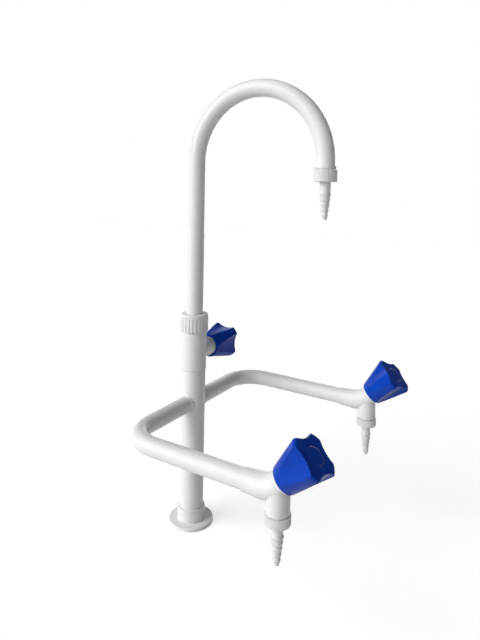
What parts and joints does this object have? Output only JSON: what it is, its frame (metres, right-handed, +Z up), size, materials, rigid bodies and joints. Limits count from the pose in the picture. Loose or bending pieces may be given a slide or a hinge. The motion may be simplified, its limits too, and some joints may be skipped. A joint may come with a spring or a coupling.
{
  "type": "laboratory gooseneck tap",
  "caption": "White bench-mounted laboratory tap with a swivel gooseneck, two bent side arms with hose nozzles, and fluted blue knobs that turn ceramic valves.",
  "frame": {"origin": "centre of the flange underside, on the bench top", "axes": "+Z up along the column, -Y forward towards the outlets, +X along the top knob"},
  "size_m": [0.3015, 0.2739, 0.643],
  "materials": {
    "white_enamel": "gloss",
    "white_plastic": "satin",
    "blue_plastic": "gloss",
    "brass": "machined",
    "rubber": "matte",
    "steel": "plain",
    "ceramic": "polished"
  },
  "bodies": {
    "tap_frame": {"base_flange": "white_enamel", "base_seal": "rubber", "inlet_shank": "brass", "clamp_washer": "steel", "back_nut": "brass", "column_tube": "white_enamel", "left_arm_tube": "white_enamel", "right_arm_tube": "white_enamel", "left_valve_body": "white_enamel", "right_valve_body": "white_enamel", "top_valve_body": "white_enamel", "left_seat_seal": "rubber", "right_seat_seal": "rubber", "top_seat_seal": "rubber", "left_fixed_disc": "ceramic", "right_fixed_disc": "ceramic", "top_fixed_disc": "ceramic", "left_cartridge": "brass", "right_cartridge": "brass", "top_cartridge": "brass", "spout_nut": "white_plastic", "spout_lower_ring": "white_plastic", "spout_upper_ring": "white_plastic", "left_nozzle_washer": "rubber", "right_nozzle_washer": "rubber", "left_nozzle": "white_plastic", "right_nozzle": "white_plastic", "left_union_nut": "white_plastic", "right_union_nut": "white_plastic"},
    "gooseneck": {"gooseneck_tube": "white_enamel", "spout_tail": "brass", "spout_o_rings": "rubber", "spout_nozzle": "white_plastic", "spout_union_nut": "white_plastic", "spout_nozzle_washer": "rubber"},
    "left_handle": {"left_knob": "blue_plastic", "left_knob_cap": "blue_plastic", "left_knob_screw": "steel", "left_spindle": "brass", "left_moving_disc": "ceramic"},
    "right_handle": {"right_knob": "blue_plastic", "right_knob_cap": "blue_plastic", "right_knob_screw": "steel", "right_spindle": "brass", "right_moving_disc": "ceramic"},
    "top_handle": {"top_knob": "blue_plastic", "top_knob_cap": "blue_plastic", "top_knob_screw": "steel", "top_spindle": "brass", "top_moving_disc": "ceramic"}
  },
  "joints": [
    {"name": "gooseneck_swivel", "type": "hinge", "parent": "tap_frame", "child": "gooseneck", "pos_m": [0, 0, 0.266], "axis": [0, 0, 1], "continuous": true},
    {"name": "left_knob_turn", "type": "hinge", "parent": "tap_frame", "child": "left_handle", "pos_m": [-0.127, -0.186, 0.1575], "axis": [0, -0.7071, 0.7071], "range_deg": [0, 90]},
    {"name": "right_knob_turn", "type": "hinge", "parent": "tap_frame", "child": "right_handle", "pos_m": [0.127, -0.186, 0.1575], "axis": [0, -0.7071, 0.7071], "range_deg": [0, 90]},
    {"name": "top_knob_turn", "type": "hinge", "parent": "tap_frame", "child": "top_handle", "pos_m": [0, 0, 0.2225], "axis": [1, 0, 0], "range_deg": [0, 90]}
  ]
}
